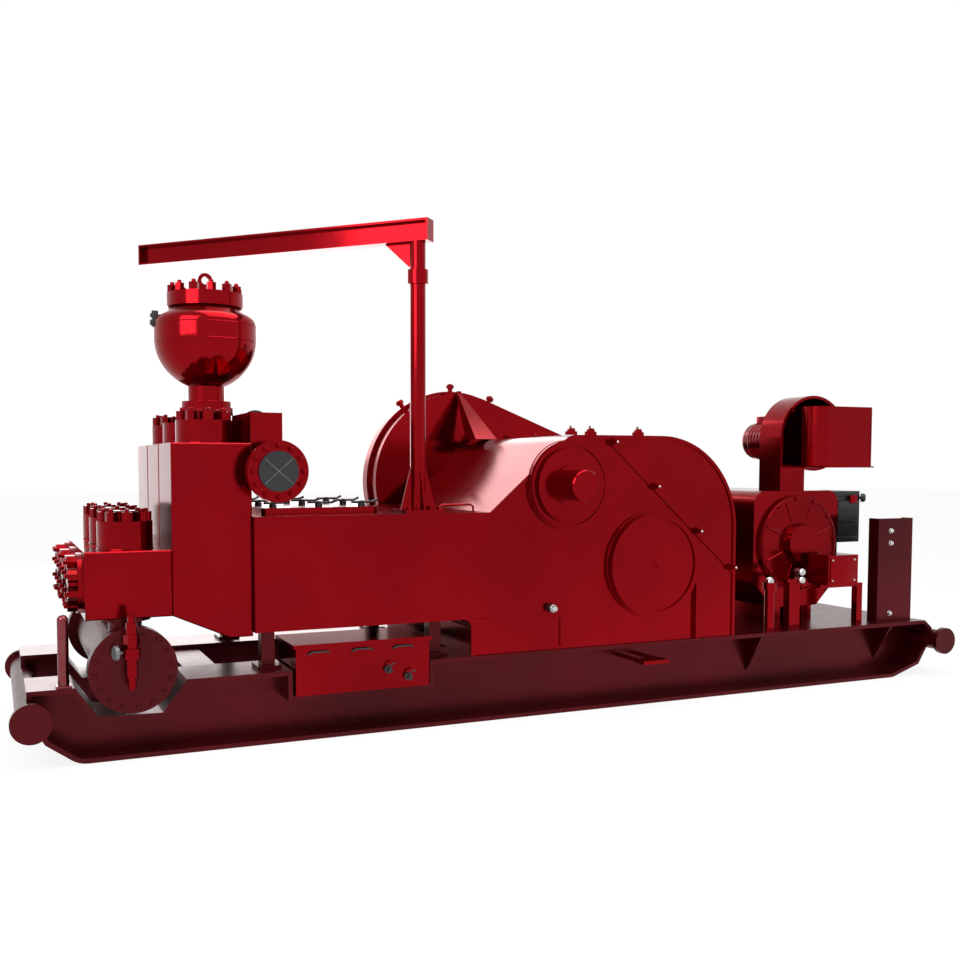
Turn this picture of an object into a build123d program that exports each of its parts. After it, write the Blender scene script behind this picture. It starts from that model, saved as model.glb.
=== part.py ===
from build123d import *
import os

os.makedirs("parts", exist_ok=True)

# Triplex mud pump on a skid, millimetres.
# +X runs from the fluid end to the drive motor, +Y to the chain side, +Z up.
# The origin is under the middle of the skid, on the plane it rests on.

# ---- skid ----
skid_height = 468
flange_t = 30
runner_width = 440
runner_y = 640
web_t = 30
nose_r = 170
tow_x = 3660
tow_z = 300
tow_r = 85
tow_disc_r = 120
tow_rear_disc_r = 112
tow_disc_t = 40
tow_reach = 130
beam_width = 220
beam_web_t = 24
beam_xs = [-2560, -920, 0, 1150, 2360, 3030]
keel_t = 30
deck_front_x = 1560
deck_rear_x = 3540
deck_t = 30

# ---- crosshead frame ----
frame_front_x = -2300
frame_rear_x = -627
frame_bottom_z = 728
frame_top_z = 1478
body_half_y = 850
side_recess = 12
side_rim = 26
leg_xs = [-2180, -980]
leg_w = 90
leg_y = 640
cover_t = 46

# ---- power end ----
power_low_front_x = -770
power_rear_x = 1520
power_top_z = 2030
dome_r = 705
neck_r = 60
slope_run = 1.148
hump_r = 265
lug_r = 27
lug_t = 34
pinion_x = 0
pinion_z = 1664
pinion_r = 323
pinion_t = 34
pinion_boss_r = 272
pinion_boss_t = 40
pinion_collar_r = 150
pinion_cap_r = 112
pinion_cap_len = 185
crank_x = 745
crank_z = 1059
crank_r = 399
crank_t = 46
crank_rim = 38
split_top_x = 325
split_slope = 0.884

# ---- fluid end ----
module_pitch = 533
module_w = 505
suction_front_x = -3333
block_split_x = -2810
suction_low_z = 860
suction_top_z = 1279
discharge_low_z = 700
discharge_top_z = 1951
slope_x = -2450
pot_x = -3065
pot_r = 172
pot_h = 178
cap_x = -2555
cap_r = 182
cap_h = 150
head_z = 1070
head_r = 190
head_t = 34
nut_af = 66
nut_h = 58
block_edge = 7

# ---- suction side ----
intake_x = -3073
intake_z = 567
intake_r = 200
intake_flange_r = 264
intake_flange_t = 60
intake_half = 887
riser_r = 105

# ---- discharge side ----
outlet_x = -2180
outlet_z = 1771
outlet_r = 105
outlet_hub_r = 150
outlet_flange_r = 197
outlet_flange_t = 62
outlet_face_y = -1000
outlet_pcd = 326
outlet_hole_r = 14
outlet_holes = 12
blank_r = 128
blank_t = 16

# ---- pulsation dampener ----
damp_x = -2436
damp_neck_r = 126
damp_neck_z = 2210
damp_band_z = 2690
damp_shoulder_z = 2780
damp_lip_z = 2905
damp_r = 355
damp_bowl_z = damp_band_z - (damp_r**2 - damp_neck_r**2) ** 0.5
damp_cover_r = 265
damp_cover_t = 95
eye_h = 150
eye_hole_r = 26
eye_t = 24

# ---- wash tank ----
tank_front_x = -2045
tank_rear_x = -1105
tank_near_y = -882
tank_depth = 440
tank_top_z = 615
tank_lid_t = 26
notch_floor_z = 300
tank_gap = 15

# ---- drive ----
motor_x = 2487
motor_z = 1145
motor_half_w = 456
motor_half_h = 445
motor_near_y = -450
motor_far_y = 800
motor_low_z = 600
motor_chamfer = 223
shield_r = 410
shield_t = 34
case_near_y = 1100
case_t = 340
case_big_r = 810
case_small_r = 400

# ---- blower ----
scroll_x = 2800
scroll_z = 2050
scroll_r = 367
scroll_near_y = -300
scroll_t = 270
scroll_wall = 25
scroll_neck_w = 267
fan_motor_x = 2650
fan_motor_r = 165
fan_motor_len = 330
hood_r = 135
hood_low_z = 1800
hood_h = 510
hood_len = 470

# ---- jib crane ----
post_x = -1112
post_y = -700
post_r = 54
post_pin_r = 38
collar_z = 3050
collar_h = 100
collar_r = 72
sleeve_h = 190
sleeve_gap = 0.3
arm_h = 150
arm_w = 110
arm_flange_t = 14
arm_web_t = 14
arm_len = 2310
arm_tail = 95
arm_gusset = 190
arm_turn = 134.4

module_ys = [-module_pitch, 0, module_pitch]


web_y = runner_y + web_t / 2


def at_y(y):
    return Plane.XZ.offset(-y)


def runner(y_low, name):
    """Wide-flange runner: bent flanges follow the notched outline of the web."""
    y_high = y_low + runner_width
    outer = 1 if y_low > 0 else -1
    stub_x = -tow_x - 20
    tank_notch = [
        (tank_rear_x + tank_gap, skid_height),
        (tank_rear_x + tank_gap, notch_floor_z),
        (tank_front_x - tank_gap, notch_floor_z),
        (tank_front_x - tank_gap, skid_height),
    ]
    points = [
        (-3390, 0), (3200, 0), (3494, 93), (3627, tow_z), (3640, 400), (3560, skid_height),
        *(tank_notch if outer < 0 else []),
        (-2741, skid_height), (-2889, 272), (-3273, 280), (-3406, skid_height),
        (stub_x, skid_height), (stub_x, tow_z), (-3580, 136),
    ]
    pocket = (runner_width - web_t) / 2
    with BuildPart() as side:
        with BuildSketch(at_y(y_high)) as outline:
            with BuildLine():
                Polyline(*points, close=True)
            make_face()
            fillet(outline.vertices().group_by(Axis.Y)[0], radius=nose_r)
        extrude(amount=runner_width)
        for y in (y_high, y_low + pocket):
            with BuildSketch(at_y(y)) as hollow:
                with BuildLine():
                    Polyline(*points, close=True)
                make_face()
                fillet(hollow.vertices().group_by(Axis.Y)[0], radius=nose_r)
                offset(amount=-flange_t, kind=Kind.INTERSECTION)
            extrude(amount=pocket, mode=Mode.SUBTRACT)
        for x in (1800, 3180):
            with BuildSketch(Plane.YZ.offset(x)):
                with BuildLine():
                    Polyline(
                        (outer * web_y, skid_height - flange_t),
                        (outer * (runner_y + runner_width / 2 - 6), skid_height - flange_t),
                        (outer * web_y, skid_height - flange_t - 300),
                        close=True,
                    )
                make_face()
            extrude(amount=8, both=True)
        with BuildSketch(at_y(y_high)):
            with Locations((-tow_x, tow_z), (tow_x, tow_z)):
                Circle(tow_r)
        extrude(amount=runner_width, mode=Mode.SUBTRACT)
    side.part.label = name
    export_step(side.part, "parts/" + name + ".step")


runner(-runner_y - runner_width / 2, "near_runner")
runner(runner_y - runner_width / 2, "far_runner")

# Cross beams stand between the runner flanges and butt on the runner webs.
beam_end_y = runner_y - web_t / 2
beam_low = flange_t
beam_high = skid_height - flange_t
with BuildPart() as cross_members:
    for x in beam_xs:
        with BuildSketch(at_y(beam_end_y)):
            with Locations((x, (beam_low + beam_high) / 2)):
                Rectangle(beam_web_t, beam_high - beam_low)
            with Locations((x, beam_low + flange_t / 2), (x, beam_high - flange_t / 2)):
                Rectangle(beam_width, flange_t)
        extrude(amount=2 * beam_end_y)
    inner_y = runner_y - runner_width / 2
    with BuildSketch(Plane.XY):
        Rectangle(beam_width, 2 * inner_y)
    extrude(amount=keel_t)
cross_members.part.label = "cross_members"
export_step(cross_members.part, "parts/cross_members.step")


def tow_bar(x, disc_r, name):
    """Tow tube through both runners, closed by a round plate at each end."""
    end_y = runner_y + runner_width / 2 + tow_reach
    with BuildPart() as bar:
        with BuildSketch(at_y(end_y)):
            with Locations((x, tow_z)):
                Circle(tow_r)
        extrude(amount=2 * end_y)
        for y in (end_y, -end_y + tow_disc_t):
            with BuildSketch(at_y(y)):
                with Locations((x, tow_z)):
                    Circle(disc_r)
            extrude(amount=tow_disc_t)
    bar.part.label = name
    export_step(bar.part, "parts/" + name + ".step")


tow_bar(-tow_x, tow_disc_r, "front_tow_bar")
tow_bar(tow_x, tow_rear_disc_r, "rear_tow_bar")

with BuildPart() as deck_plate:
    with BuildSketch(Plane.XY.offset(skid_height - deck_t)):
        with Locations(((deck_front_x + deck_rear_x) / 2, 0)):
            Rectangle(deck_rear_x - deck_front_x, 2 * inner_y)
    extrude(amount=deck_t)
deck_plate.part.label = "deck_plate"
export_step(deck_plate.part, "parts/deck_plate.step")

# Small step on two arms that reach the near runner's web.
step_x = 640
step_z = 356
step_near_y = -1060
step_depth = 120
with BuildPart() as side_step:
    with Locations((step_x, step_near_y + step_depth / 2, step_z)):
        Box(220, step_depth, 26)
    arm_reach = -web_y - step_near_y - step_depth
    for x in (step_x - 80, step_x + 80):
        with Locations((x, -web_y - arm_reach / 2, step_z)):
            Box(26, arm_reach, 26)
side_step.part.label = "side_step"
export_step(side_step.part, "parts/side_step.step")

with BuildPart() as front_post:
    with BuildSketch(Plane.XY.offset(skid_height)):
        with Locations((-3466, -800)):
            Circle(33)
    extrude(amount=440)
    fillet(front_post.edges().group_by(Axis.Z)[-1], radius=30)
    with BuildSketch(Plane.XY.offset(skid_height)):
        with Locations((-3466, -800)):
            Rectangle(90, 90)
    extrude(amount=14)
front_post.part.label = "front_post"
export_step(front_post.part, "parts/front_post.step")

# ---- crosshead frame ----
frame_len = frame_rear_x - frame_front_x
frame_h = frame_top_z - frame_bottom_z
with BuildPart() as crosshead_frame:
    with BuildSketch(at_y(body_half_y)):
        with Locations(((frame_front_x + frame_rear_x) / 2, (frame_bottom_z + frame_top_z) / 2)):
            Rectangle(frame_len, frame_h)
    extrude(amount=2 * body_half_y)
    for y in (body_half_y, -body_half_y + side_recess):
        with BuildSketch(at_y(y)):
            with Locations((frame_front_x + side_rim, frame_bottom_z)):
                Rectangle(frame_len - side_rim, frame_h - side_rim, align=(Align.MIN, Align.MIN))
        extrude(amount=side_recess, mode=Mode.SUBTRACT)
crosshead_frame.part.label = "crosshead_frame"
export_step(crosshead_frame.part, "parts/crosshead_frame.step")

with BuildPart() as frame_legs:
    for x in leg_xs:
        for y in (-leg_y, leg_y):
            with BuildSketch(Plane.XY.offset(skid_height)):
                with Locations((x, y)):
                    Rectangle(leg_w, leg_w)
            extrude(amount=frame_bottom_z - skid_height)
            with BuildSketch(Plane.XY.offset(skid_height)):
                with Locations((x, y)):
                    Rectangle(leg_w + 70, leg_w + 90)
            extrude(amount=20)
frame_legs.part.label = "frame_legs"
export_step(frame_legs.part, "parts/frame_legs.step")

with BuildPart() as crosshead_covers:
    for y in (-420, 0, 420):
        with BuildSketch(Plane.XY.offset(frame_top_z)):
            with Locations((-1780, y)):
                RectangleRounded(820, 380, 40)
        extrude(amount=cover_t)
crosshead_covers.part.label = "crosshead_covers"
export_step(crosshead_covers.part, "parts/crosshead_covers.step")

# ---- power end ----
dome_x = power_rear_x - dome_r
dome_z = power_top_z - dome_r
split_end_z = power_top_z - (power_rear_x - split_top_x) * split_slope
corner_z = frame_bottom_z - neck_r
hump_x = frame_rear_x + (power_top_z - frame_top_z) * slope_run
side_y = body_half_y - side_recess
housing_points = [
    (power_low_front_x, corner_z),
    (power_low_front_x, skid_height),
    (power_rear_x, skid_height),
    (power_rear_x, split_end_z),
    (split_top_x, power_top_z),
    (hump_x, power_top_z),
    (frame_rear_x, frame_top_z),
    (frame_rear_x, frame_bottom_z),
    (power_low_front_x - neck_r, frame_bottom_z),
]
with BuildPart() as power_end_housing:
    with BuildSketch(at_y(body_half_y)) as side_plate:
        with BuildLine():
            Polyline(*housing_points)
            RadiusArc(housing_points[-1], housing_points[0], neck_r)
        make_face()
        fillet(side_plate.vertices().sort_by_distance((hump_x, power_top_z))[0], radius=hump_r)
    extrude(amount=2 * body_half_y)
    for y in (body_half_y, -body_half_y + side_recess):
        with BuildSketch(at_y(y)) as panel:
            with BuildLine():
                Polyline(*housing_points)
                RadiusArc(housing_points[-1], housing_points[0], neck_r)
            make_face()
            fillet(panel.vertices().sort_by_distance((hump_x, power_top_z))[0], radius=hump_r)
            offset(amount=-side_rim, kind=Kind.INTERSECTION)
            with Locations((frame_rear_x, frame_bottom_z)):
                Rectangle(2 * side_rim, frame_h - side_rim, align=(Align.MIN, Align.MIN))
            with Locations((power_low_front_x + side_rim, skid_height)):
                Rectangle(
                    power_rear_x - power_low_front_x - 2 * side_rim,
                    2 * side_rim,
                    align=(Align.MIN, Align.MIN),
                )
            with Locations((pinion_x, pinion_z)):
                Circle(pinion_r + 0.5)
        extrude(amount=side_recess, mode=Mode.SUBTRACT)
    for y in (side_y + 34, -side_y):
        with BuildSketch(at_y(y)):
            with Locations((1141, (skid_height + 915) / 2)):
                Rectangle(18, 915 - skid_height)
        extrude(amount=34)
power_end_housing.part.label = "power_end_housing"
export_step(power_end_housing.part, "parts/power_end_housing.step")

with BuildPart() as rear_cover:
    for y, depth, inset in (
        (body_half_y, 2 * body_half_y, 0),
        (body_half_y, side_recess, side_rim),
        (-side_y, side_recess, side_rim),
    ):
        with BuildSketch(at_y(y)):
            with BuildLine():
                Polyline(
                    (power_rear_x, dome_z),
                    (power_rear_x, split_end_z),
                    (split_top_x, power_top_z),
                    (dome_x, power_top_z),
                )
                RadiusArc((dome_x, power_top_z), (power_rear_x, dome_z), dome_r)
            make_face()
            if inset:
                offset(amount=-inset, kind=Kind.INTERSECTION)
        extrude(amount=depth, mode=Mode.SUBTRACT if inset else Mode.ADD)
rear_cover.part.label = "rear_cover"
export_step(rear_cover.part, "parts/rear_cover.step")

# Clamp lugs with their bolts across the inclined joint of housing and cover, both sides.
with BuildPart() as cover_clamps:
    for y, out in ((body_half_y + lug_t, 0), (-body_half_y, 0)):
        with BuildSketch(at_y(y)):
            for x in (382, 755, 1147, 1478):
                with Locations((x, power_top_z - (x - split_top_x) * split_slope)):
                    Circle(lug_r)
        extrude(amount=lug_t)
    for y in (body_half_y + lug_t + 22, -body_half_y - lug_t):
        with BuildSketch(at_y(y)):
            for x in (382, 755, 1147, 1478):
                with Locations((x, power_top_z - (x - split_top_x) * split_slope)):
                    RegularPolygon(lug_r * 0.72, 6)
        extrude(amount=22)
cover_clamps.part.label = "cover_clamps"
export_step(cover_clamps.part, "parts/cover_clamps.step")

# Lifting lugs along the top of the housing and the cover.
lug_y = body_half_y - 60
with BuildPart() as lifting_lugs:
    for x, y in ((60, -lug_y), (225, -lug_y), (640, -lug_y), (225, lug_y), (640, lug_y)):
        with BuildSketch(at_y(y + 11)):
            with Locations((x, power_top_z)):
                Rectangle(90, 26, align=(Align.CENTER, Align.MIN))
            with Locations((x, power_top_z + 26)):
                Circle(30)
            with Locations((x, power_top_z - 30)):
                Rectangle(120, 60, mode=Mode.SUBTRACT)
        extrude(amount=22)
lifting_lugs.part.label = "lifting_lugs"
export_step(lifting_lugs.part, "parts/lifting_lugs.step")


def crank_cover(near, name):
    """Flat round bearing cover with a raised rim."""
    with BuildPart() as cover:
        face_y = side_y + crank_t
        with BuildSketch(at_y(-side_y if near else face_y)):
            with Locations((crank_x, crank_z)):
                Circle(crank_r)
        extrude(amount=crank_t)
        with BuildSketch(at_y(-face_y if near else face_y + 14)):
            with Locations((crank_x, crank_z)):
                Circle(crank_r - 8)
                Circle(crank_r - 8 - crank_rim, mode=Mode.SUBTRACT)
        extrude(amount=14)
    cover.part.label = name
    export_step(cover.part, "parts/" + name + ".step")


crank_cover(True, "near_crank_cover")
crank_cover(False, "far_crank_cover")

with BuildPart() as near_pinion_cover:
    reach = side_y
    for r, t in (
        (pinion_r, pinion_t),
        (pinion_boss_r, pinion_boss_t),
        (pinion_collar_r, 18),
    ):
        with BuildSketch(at_y(-reach)):
            with Locations((pinion_x, pinion_z)):
                Circle(r)
        extrude(amount=t)
        reach = reach + t
    with BuildSketch(at_y(-side_y - pinion_t)):
        with Locations((pinion_x, pinion_z)):
            Circle(pinion_r - 12)
            Circle(pinion_r - 30, mode=Mode.SUBTRACT)
    extrude(amount=14)
near_pinion_cover.part.label = "near_pinion_cover"
export_step(near_pinion_cover.part, "parts/near_pinion_cover.step")

with BuildPart() as pinion_cap:
    with BuildSketch(at_y(-reach)):
        with Locations((pinion_x, pinion_z)):
            Circle(pinion_cap_r)
    extrude(amount=pinion_cap_len)
    chamfer(pinion_cap.edges().group_by(Axis.Y)[0], length=8)
pinion_cap.part.label = "pinion_cap"
export_step(pinion_cap.part, "parts/pinion_cap.step")

with BuildPart() as pinion_hub:
    with BuildSketch(at_y(case_near_y)):
        with Locations((pinion_x, pinion_z)):
            Circle(pinion_r - side_rim)
    extrude(amount=case_near_y - side_y)
pinion_hub.part.label = "pinion_hub"
export_step(pinion_hub.part, "parts/pinion_hub.step")

# ---- fluid end ----
with BuildPart() as suction_modules:
    for y in module_ys:
        with BuildSketch(at_y(y + module_w / 2)):
            with Locations((suction_front_x, suction_low_z)):
                Rectangle(
                    block_split_x - suction_front_x,
                    suction_top_z - suction_low_z,
                    align=(Align.MIN, Align.MIN),
                )
        extrude(amount=module_w)
    chamfer(suction_modules.edges().filter_by(Axis.Y, reverse=True), length=block_edge)
suction_modules.part.label = "suction_modules"
export_step(suction_modules.part, "parts/suction_modules.step")

with BuildPart() as discharge_modules:
    for y in module_ys:
        with BuildSketch(at_y(y + module_w / 2)):
            with BuildLine():
                Polyline(
                    (block_split_x, suction_low_z),
                    (slope_x, discharge_low_z),
                    (frame_front_x, discharge_low_z),
                    (frame_front_x, discharge_top_z),
                    (block_split_x, discharge_top_z),
                    close=True,
                )
            make_face()
        extrude(amount=module_w)
    chamfer(discharge_modules.edges().filter_by(Axis.Y, reverse=True), length=block_edge)
discharge_modules.part.label = "discharge_modules"
export_step(discharge_modules.part, "parts/discharge_modules.step")

nut_r = nut_af / 2 * 1.1547


def nut_ring(radius, count, height, start=0):
    """Hexagon nuts on a pitch circle in the current sketch plane."""
    with PolarLocations(radius, count, start_angle=start):
        RegularPolygon(nut_r, 6)


def valve_pots(x, ys, z, r, h, name):
    """Valve covers: cylinders with a ring of nuts and a hexagon plug in the middle."""
    with BuildPart() as pots:
        for y in ys:
            with BuildSketch(Plane.XY.offset(z)):
                with Locations((x, y)):
                    Circle(r)
            extrude(amount=h)
            with BuildSketch(Plane((x, y, z + h))):
                nut_ring(r - nut_r - 4, 8, nut_h)
            extrude(amount=nut_h)
            with BuildSketch(Plane((x, y, z + h))):
                RegularPolygon(r - 2 * nut_r - 12, 6)
            extrude(amount=nut_h + 6)
    pots.part.label = name
    export_step(pots.part, "parts/" + name + ".step")


valve_pots(pot_x, module_ys, suction_top_z, pot_r, pot_h, "suction_pots")
valve_pots(cap_x, (module_ys[0], module_ys[2]), discharge_top_z, cap_r, cap_h, "discharge_pots")

with BuildPart() as cylinder_heads:
    for y in module_ys:
        with BuildSketch(Plane((suction_front_x, y, head_z), z_dir=(-1, 0, 0))):
            Circle(head_r)
        extrude(amount=head_t)
        face_x = suction_front_x - head_t
        with BuildSketch(Plane((face_x, y, head_z), z_dir=(-1, 0, 0))):
            nut_ring(head_r - nut_r - 4, 8, nut_h, 22.5)
        extrude(amount=nut_h)
        with BuildSketch(Plane((face_x, y, head_z), z_dir=(-1, 0, 0))):
            Circle(head_r - 2 * nut_r - 12)
        extrude(amount=nut_h - 6)
cylinder_heads.part.label = "cylinder_heads"
export_step(cylinder_heads.part, "parts/cylinder_heads.step")

# ---- suction manifold ----
with BuildPart() as suction_manifold:
    with BuildSketch(at_y(intake_half)):
        with Locations((intake_x, intake_z)):
            Circle(intake_r)
    extrude(amount=2 * intake_half)
    for y in (intake_half, -intake_half + intake_flange_t):
        with BuildSketch(at_y(y)):
            with Locations((intake_x, intake_z)):
                Circle(intake_flange_r)
        extrude(amount=intake_flange_t)
    for y in module_ys:
        with BuildSketch(Plane.XY.offset(intake_z)):
            with Locations((intake_x, y)):
                Circle(riser_r)
        extrude(amount=suction_low_z - intake_z)
        with BuildSketch(Plane.XY.offset(suction_low_z - 36)):
            with Locations((intake_x, y)):
                Circle(riser_r + 55)
        extrude(amount=36)
suction_manifold.part.label = "suction_manifold"
export_step(suction_manifold.part, "parts/suction_manifold.step")

with BuildPart() as suction_blind:
    for y in (-intake_half, intake_half + intake_flange_t):
        with BuildSketch(at_y(y)):
            with Locations((intake_x, intake_z)):
                Circle(intake_flange_r)
        extrude(amount=intake_flange_t)
suction_blind.part.label = "suction_blind"
export_step(suction_blind.part, "parts/suction_blind.step")

valve_y = -intake_half - intake_flange_t - 75
with BuildPart() as relief_valve:
    with BuildSketch(Plane((intake_x - 18, valve_y, 470))):
        Circle(24)
    extrude(amount=450)
    with BuildSketch(Plane((intake_x - 18, valve_y, 540))):
        Circle(34)
    extrude(amount=330)
    with BuildSketch(Plane((intake_x - 18, valve_y, 655))):
        Circle(52)
    extrude(amount=60)
    with BuildSketch(Plane((intake_x - 18, valve_y, 730))):
        RegularPolygon(48, 6)
    extrude(amount=70)
    with BuildSketch(at_y(-intake_half - intake_flange_t)):
        with Locations((intake_x - 18, 690)):
            Circle(26)
    extrude(amount=75)
relief_valve.part.label = "relief_valve"
export_step(relief_valve.part, "parts/relief_valve.step")

# ---- discharge manifold ----
outlet_back_y = outlet_face_y + outlet_flange_t
with BuildPart() as discharge_manifold:
    with BuildSketch(at_y(body_half_y)):
        with Locations((outlet_x, outlet_z)):
            Circle(outlet_r)
    extrude(amount=body_half_y - outlet_back_y)
    for y in module_ys:
        with BuildSketch(Plane.YZ.offset(frame_front_x)):
            with Locations((y, outlet_z)):
                Rectangle(230, 2 * outlet_r)
        extrude(amount=outlet_x - frame_front_x)
    hub_y = module_pitch + module_w / 2
    with BuildSketch(at_y(-hub_y)):
        with Locations((outlet_x, outlet_z)):
            Circle(outlet_hub_r)
    extrude(amount=-outlet_back_y - hub_y)
    with BuildSketch(at_y(outlet_back_y)):
        with Locations((outlet_x, outlet_z)):
            Circle(outlet_flange_r)
    extrude(amount=outlet_flange_t)
    with BuildSketch(at_y(outlet_face_y)):
        with Locations((outlet_x, outlet_z)):
            with PolarLocations(outlet_pcd / 2, outlet_holes):
                Circle(outlet_hole_r)
    extrude(amount=-outlet_flange_t, mode=Mode.SUBTRACT)
discharge_manifold.part.label = "discharge_manifold"
export_step(discharge_manifold.part, "parts/discharge_manifold.step")

with BuildPart() as outlet_blank:
    with BuildSketch(at_y(outlet_face_y)):
        with Locations((outlet_x, outlet_z)):
            Circle(blank_r)
    extrude(amount=blank_t)
outlet_blank.part.label = "outlet_blank"
export_step(outlet_blank.part, "parts/outlet_blank.step")

block_low_z = outlet_z + outlet_r
with BuildPart() as strainer_block:
    with BuildSketch(Plane.XY.offset(block_low_z)):
        with Locations((frame_front_x, -760)):
            Rectangle(210, 560, align=(Align.MIN, Align.MIN))
    extrude(amount=2150 - block_low_z)
strainer_block.part.label = "strainer_block"
export_step(strainer_block.part, "parts/strainer_block.step")

with BuildPart() as strainer_cap:
    with BuildSketch(at_y(-200 + 260)):
        with Locations((frame_front_x + 165, 2085)):
            Circle(108)
    extrude(amount=260)
strainer_cap.part.label = "strainer_cap"
export_step(strainer_cap.part, "parts/strainer_cap.step")

# ---- pulsation dampener ----
with BuildPart() as dampener_base:
    with BuildSketch(Plane.XY.offset(discharge_top_z)):
        with Locations((cap_x, 0)):
            Circle(cap_r)
    extrude(amount=cap_h)
    with BuildSketch(Plane.XY.offset(discharge_top_z)):
        with Locations((damp_x, 0)):
            Circle(damp_neck_r + 10)
    extrude(amount=damp_neck_z - discharge_top_z - 55)
    with BuildSketch(Plane.XY.offset(damp_neck_z - 55)):
        with Locations((damp_x, 0)):
            Circle(damp_neck_r + 60)
    extrude(amount=55)
dampener_base.part.label = "dampener_base"
export_step(dampener_base.part, "parts/dampener_base.step")

with BuildPart() as dampener_body:
    with BuildSketch(Plane((damp_x, 0, 0), x_dir=(1, 0, 0), z_dir=(0, -1, 0))):
        with BuildLine():
            Polyline((0, damp_lip_z), (0, damp_neck_z), (damp_neck_r + 46, damp_neck_z), (damp_neck_r + 46, damp_neck_z + 44))
            Polyline((damp_neck_r + 46, damp_neck_z + 44), (damp_neck_r, damp_neck_z + 44), (damp_neck_r, damp_bowl_z))
            ThreePointArc(
                (damp_neck_r, damp_bowl_z),
                (damp_r * 0.766, damp_band_z - damp_r * 0.6428),
                (damp_r, damp_band_z),
            )
            Line((damp_r, damp_band_z), (damp_r, damp_shoulder_z))
            Spline(
                (damp_r, damp_shoulder_z),
                (damp_cover_r - 14, damp_lip_z),
                tangents=[(0, 1), (-0.6, 1)],
            )
            Line((damp_cover_r - 14, damp_lip_z), (0, damp_lip_z))
        make_face()
    revolve(axis=Axis((damp_x, 0, 0), (0, 0, 1)))
dampener_body.part.label = "dampener_body"
export_step(dampener_body.part, "parts/dampener_body.step")

cover_top_z = damp_lip_z + damp_cover_t
with BuildPart() as dampener_cover:
    with BuildSketch(Plane.XY.offset(damp_lip_z)):
        with Locations((damp_x, 0)):
            Circle(damp_cover_r)
    extrude(amount=damp_cover_t)
    with BuildSketch(Plane((damp_x, 0, cover_top_z))):
        with PolarLocations(damp_cover_r - 40, 12):
            RegularPolygon(34, 6)
    extrude(amount=52)
dampener_cover.part.label = "dampener_cover"
export_step(dampener_cover.part, "parts/dampener_cover.step")

eye_z = cover_top_z + eye_h - 52
with BuildPart() as lifting_eye:
    with BuildSketch(Plane.XY.offset(cover_top_z)):
        with Locations((damp_x, 0)):
            Circle(62)
    extrude(amount=30)
    with BuildSketch(at_y(eye_t / 2)):
        with Locations((damp_x, eye_z)):
            Circle(52)
        with Locations((damp_x, (eye_z + cover_top_z + 28) / 2)):
            Rectangle(88, eye_z - cover_top_z - 28)
        with Locations((damp_x, eye_z)):
            Circle(eye_hole_r, mode=Mode.SUBTRACT)
    extrude(amount=eye_t)
lifting_eye.part.label = "lifting_eye"
export_step(lifting_eye.part, "parts/lifting_eye.step")

# ---- wash tank in the runner's notch ----
tank_len = tank_rear_x - tank_front_x
with BuildPart() as wash_tank:
    with BuildSketch(Plane.XY.offset(notch_floor_z)):
        with Locations((tank_front_x, tank_near_y)):
            Rectangle(tank_len, tank_depth, align=(Align.MIN, Align.MIN))
    extrude(amount=tank_top_z - notch_floor_z)
wash_tank.part.label = "wash_tank"
export_step(wash_tank.part, "parts/wash_tank.step")

with BuildPart() as tank_lid:
    with BuildSketch(Plane.XY.offset(tank_top_z)):
        with Locations((tank_front_x - 22, tank_near_y - 22)):
            Rectangle(tank_len + 36, tank_depth + 36, align=(Align.MIN, Align.MIN))
    extrude(amount=tank_lid_t)
tank_lid.part.label = "tank_lid"
export_step(tank_lid.part, "parts/tank_lid.step")

# ---- drive motor ----
with BuildPart() as drive_motor:
    with BuildSketch(at_y(motor_far_y)):
        with BuildLine():
            Polyline(
                (motor_x - motor_half_w, motor_z + motor_half_h),
                (motor_x + motor_half_w, motor_z + motor_half_h),
                (motor_x + motor_half_w, motor_low_z + motor_chamfer),
                (motor_x + motor_half_w - motor_chamfer, motor_low_z),
                (motor_x - motor_half_w + motor_chamfer, motor_low_z),
                (motor_x - motor_half_w, motor_low_z + motor_chamfer),
                close=True,
            )
        make_face()
    extrude(amount=motor_far_y - motor_near_y)
    fillet(drive_motor.edges().filter_by(Axis.Y).sort_by(Axis.Z)[-2:], radius=110)
drive_motor.part.label = "drive_motor"
export_step(drive_motor.part, "parts/drive_motor.step")

with BuildPart() as motor_end_shield:
    with BuildSketch(at_y(motor_near_y)):
        with Locations((motor_x, motor_z)):
            Circle(shield_r)
    extrude(amount=shield_t)
    with BuildSketch(at_y(motor_near_y - shield_t)):
        with Locations((motor_x, motor_z)):
            Circle(shield_r * 0.42)
    extrude(amount=70, taper=12)
motor_end_shield.part.label = "motor_end_shield"
export_step(motor_end_shield.part, "parts/motor_end_shield.step")

with BuildPart() as motor_stand:
    for x in (motor_x - 170, motor_x + 170):
        with BuildSketch(Plane.XY.offset(skid_height)):
            with Locations((x, (motor_near_y + motor_far_y) / 2)):
                Rectangle(110, motor_far_y - motor_near_y - 100)
        extrude(amount=motor_low_z - skid_height)
motor_stand.part.label = "motor_stand"
export_step(motor_stand.part, "parts/motor_stand.step")

louvre_x = motor_x + motor_half_w
with BuildPart() as motor_louvre_box:
    with Locations((louvre_x + 150, -170, 1355)):
        Box(300, 460, 450)
    with Locations((louvre_x + 150, -400 - 12, 1460), (louvre_x + 150, -400 - 12, 1355), (louvre_x + 150, -400 - 12, 1250)):
        Box(230, 24, 70)
motor_louvre_box.part.label = "motor_louvre_box"
export_step(motor_louvre_box.part, "parts/motor_louvre_box.step")

with BuildPart() as motor_hub:
    with BuildSketch(at_y(case_near_y)):
        with Locations((motor_x, motor_z)):
            Circle(190)
    extrude(amount=case_near_y - motor_far_y)
motor_hub.part.label = "motor_hub"
export_step(motor_hub.part, "parts/motor_hub.step")

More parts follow.
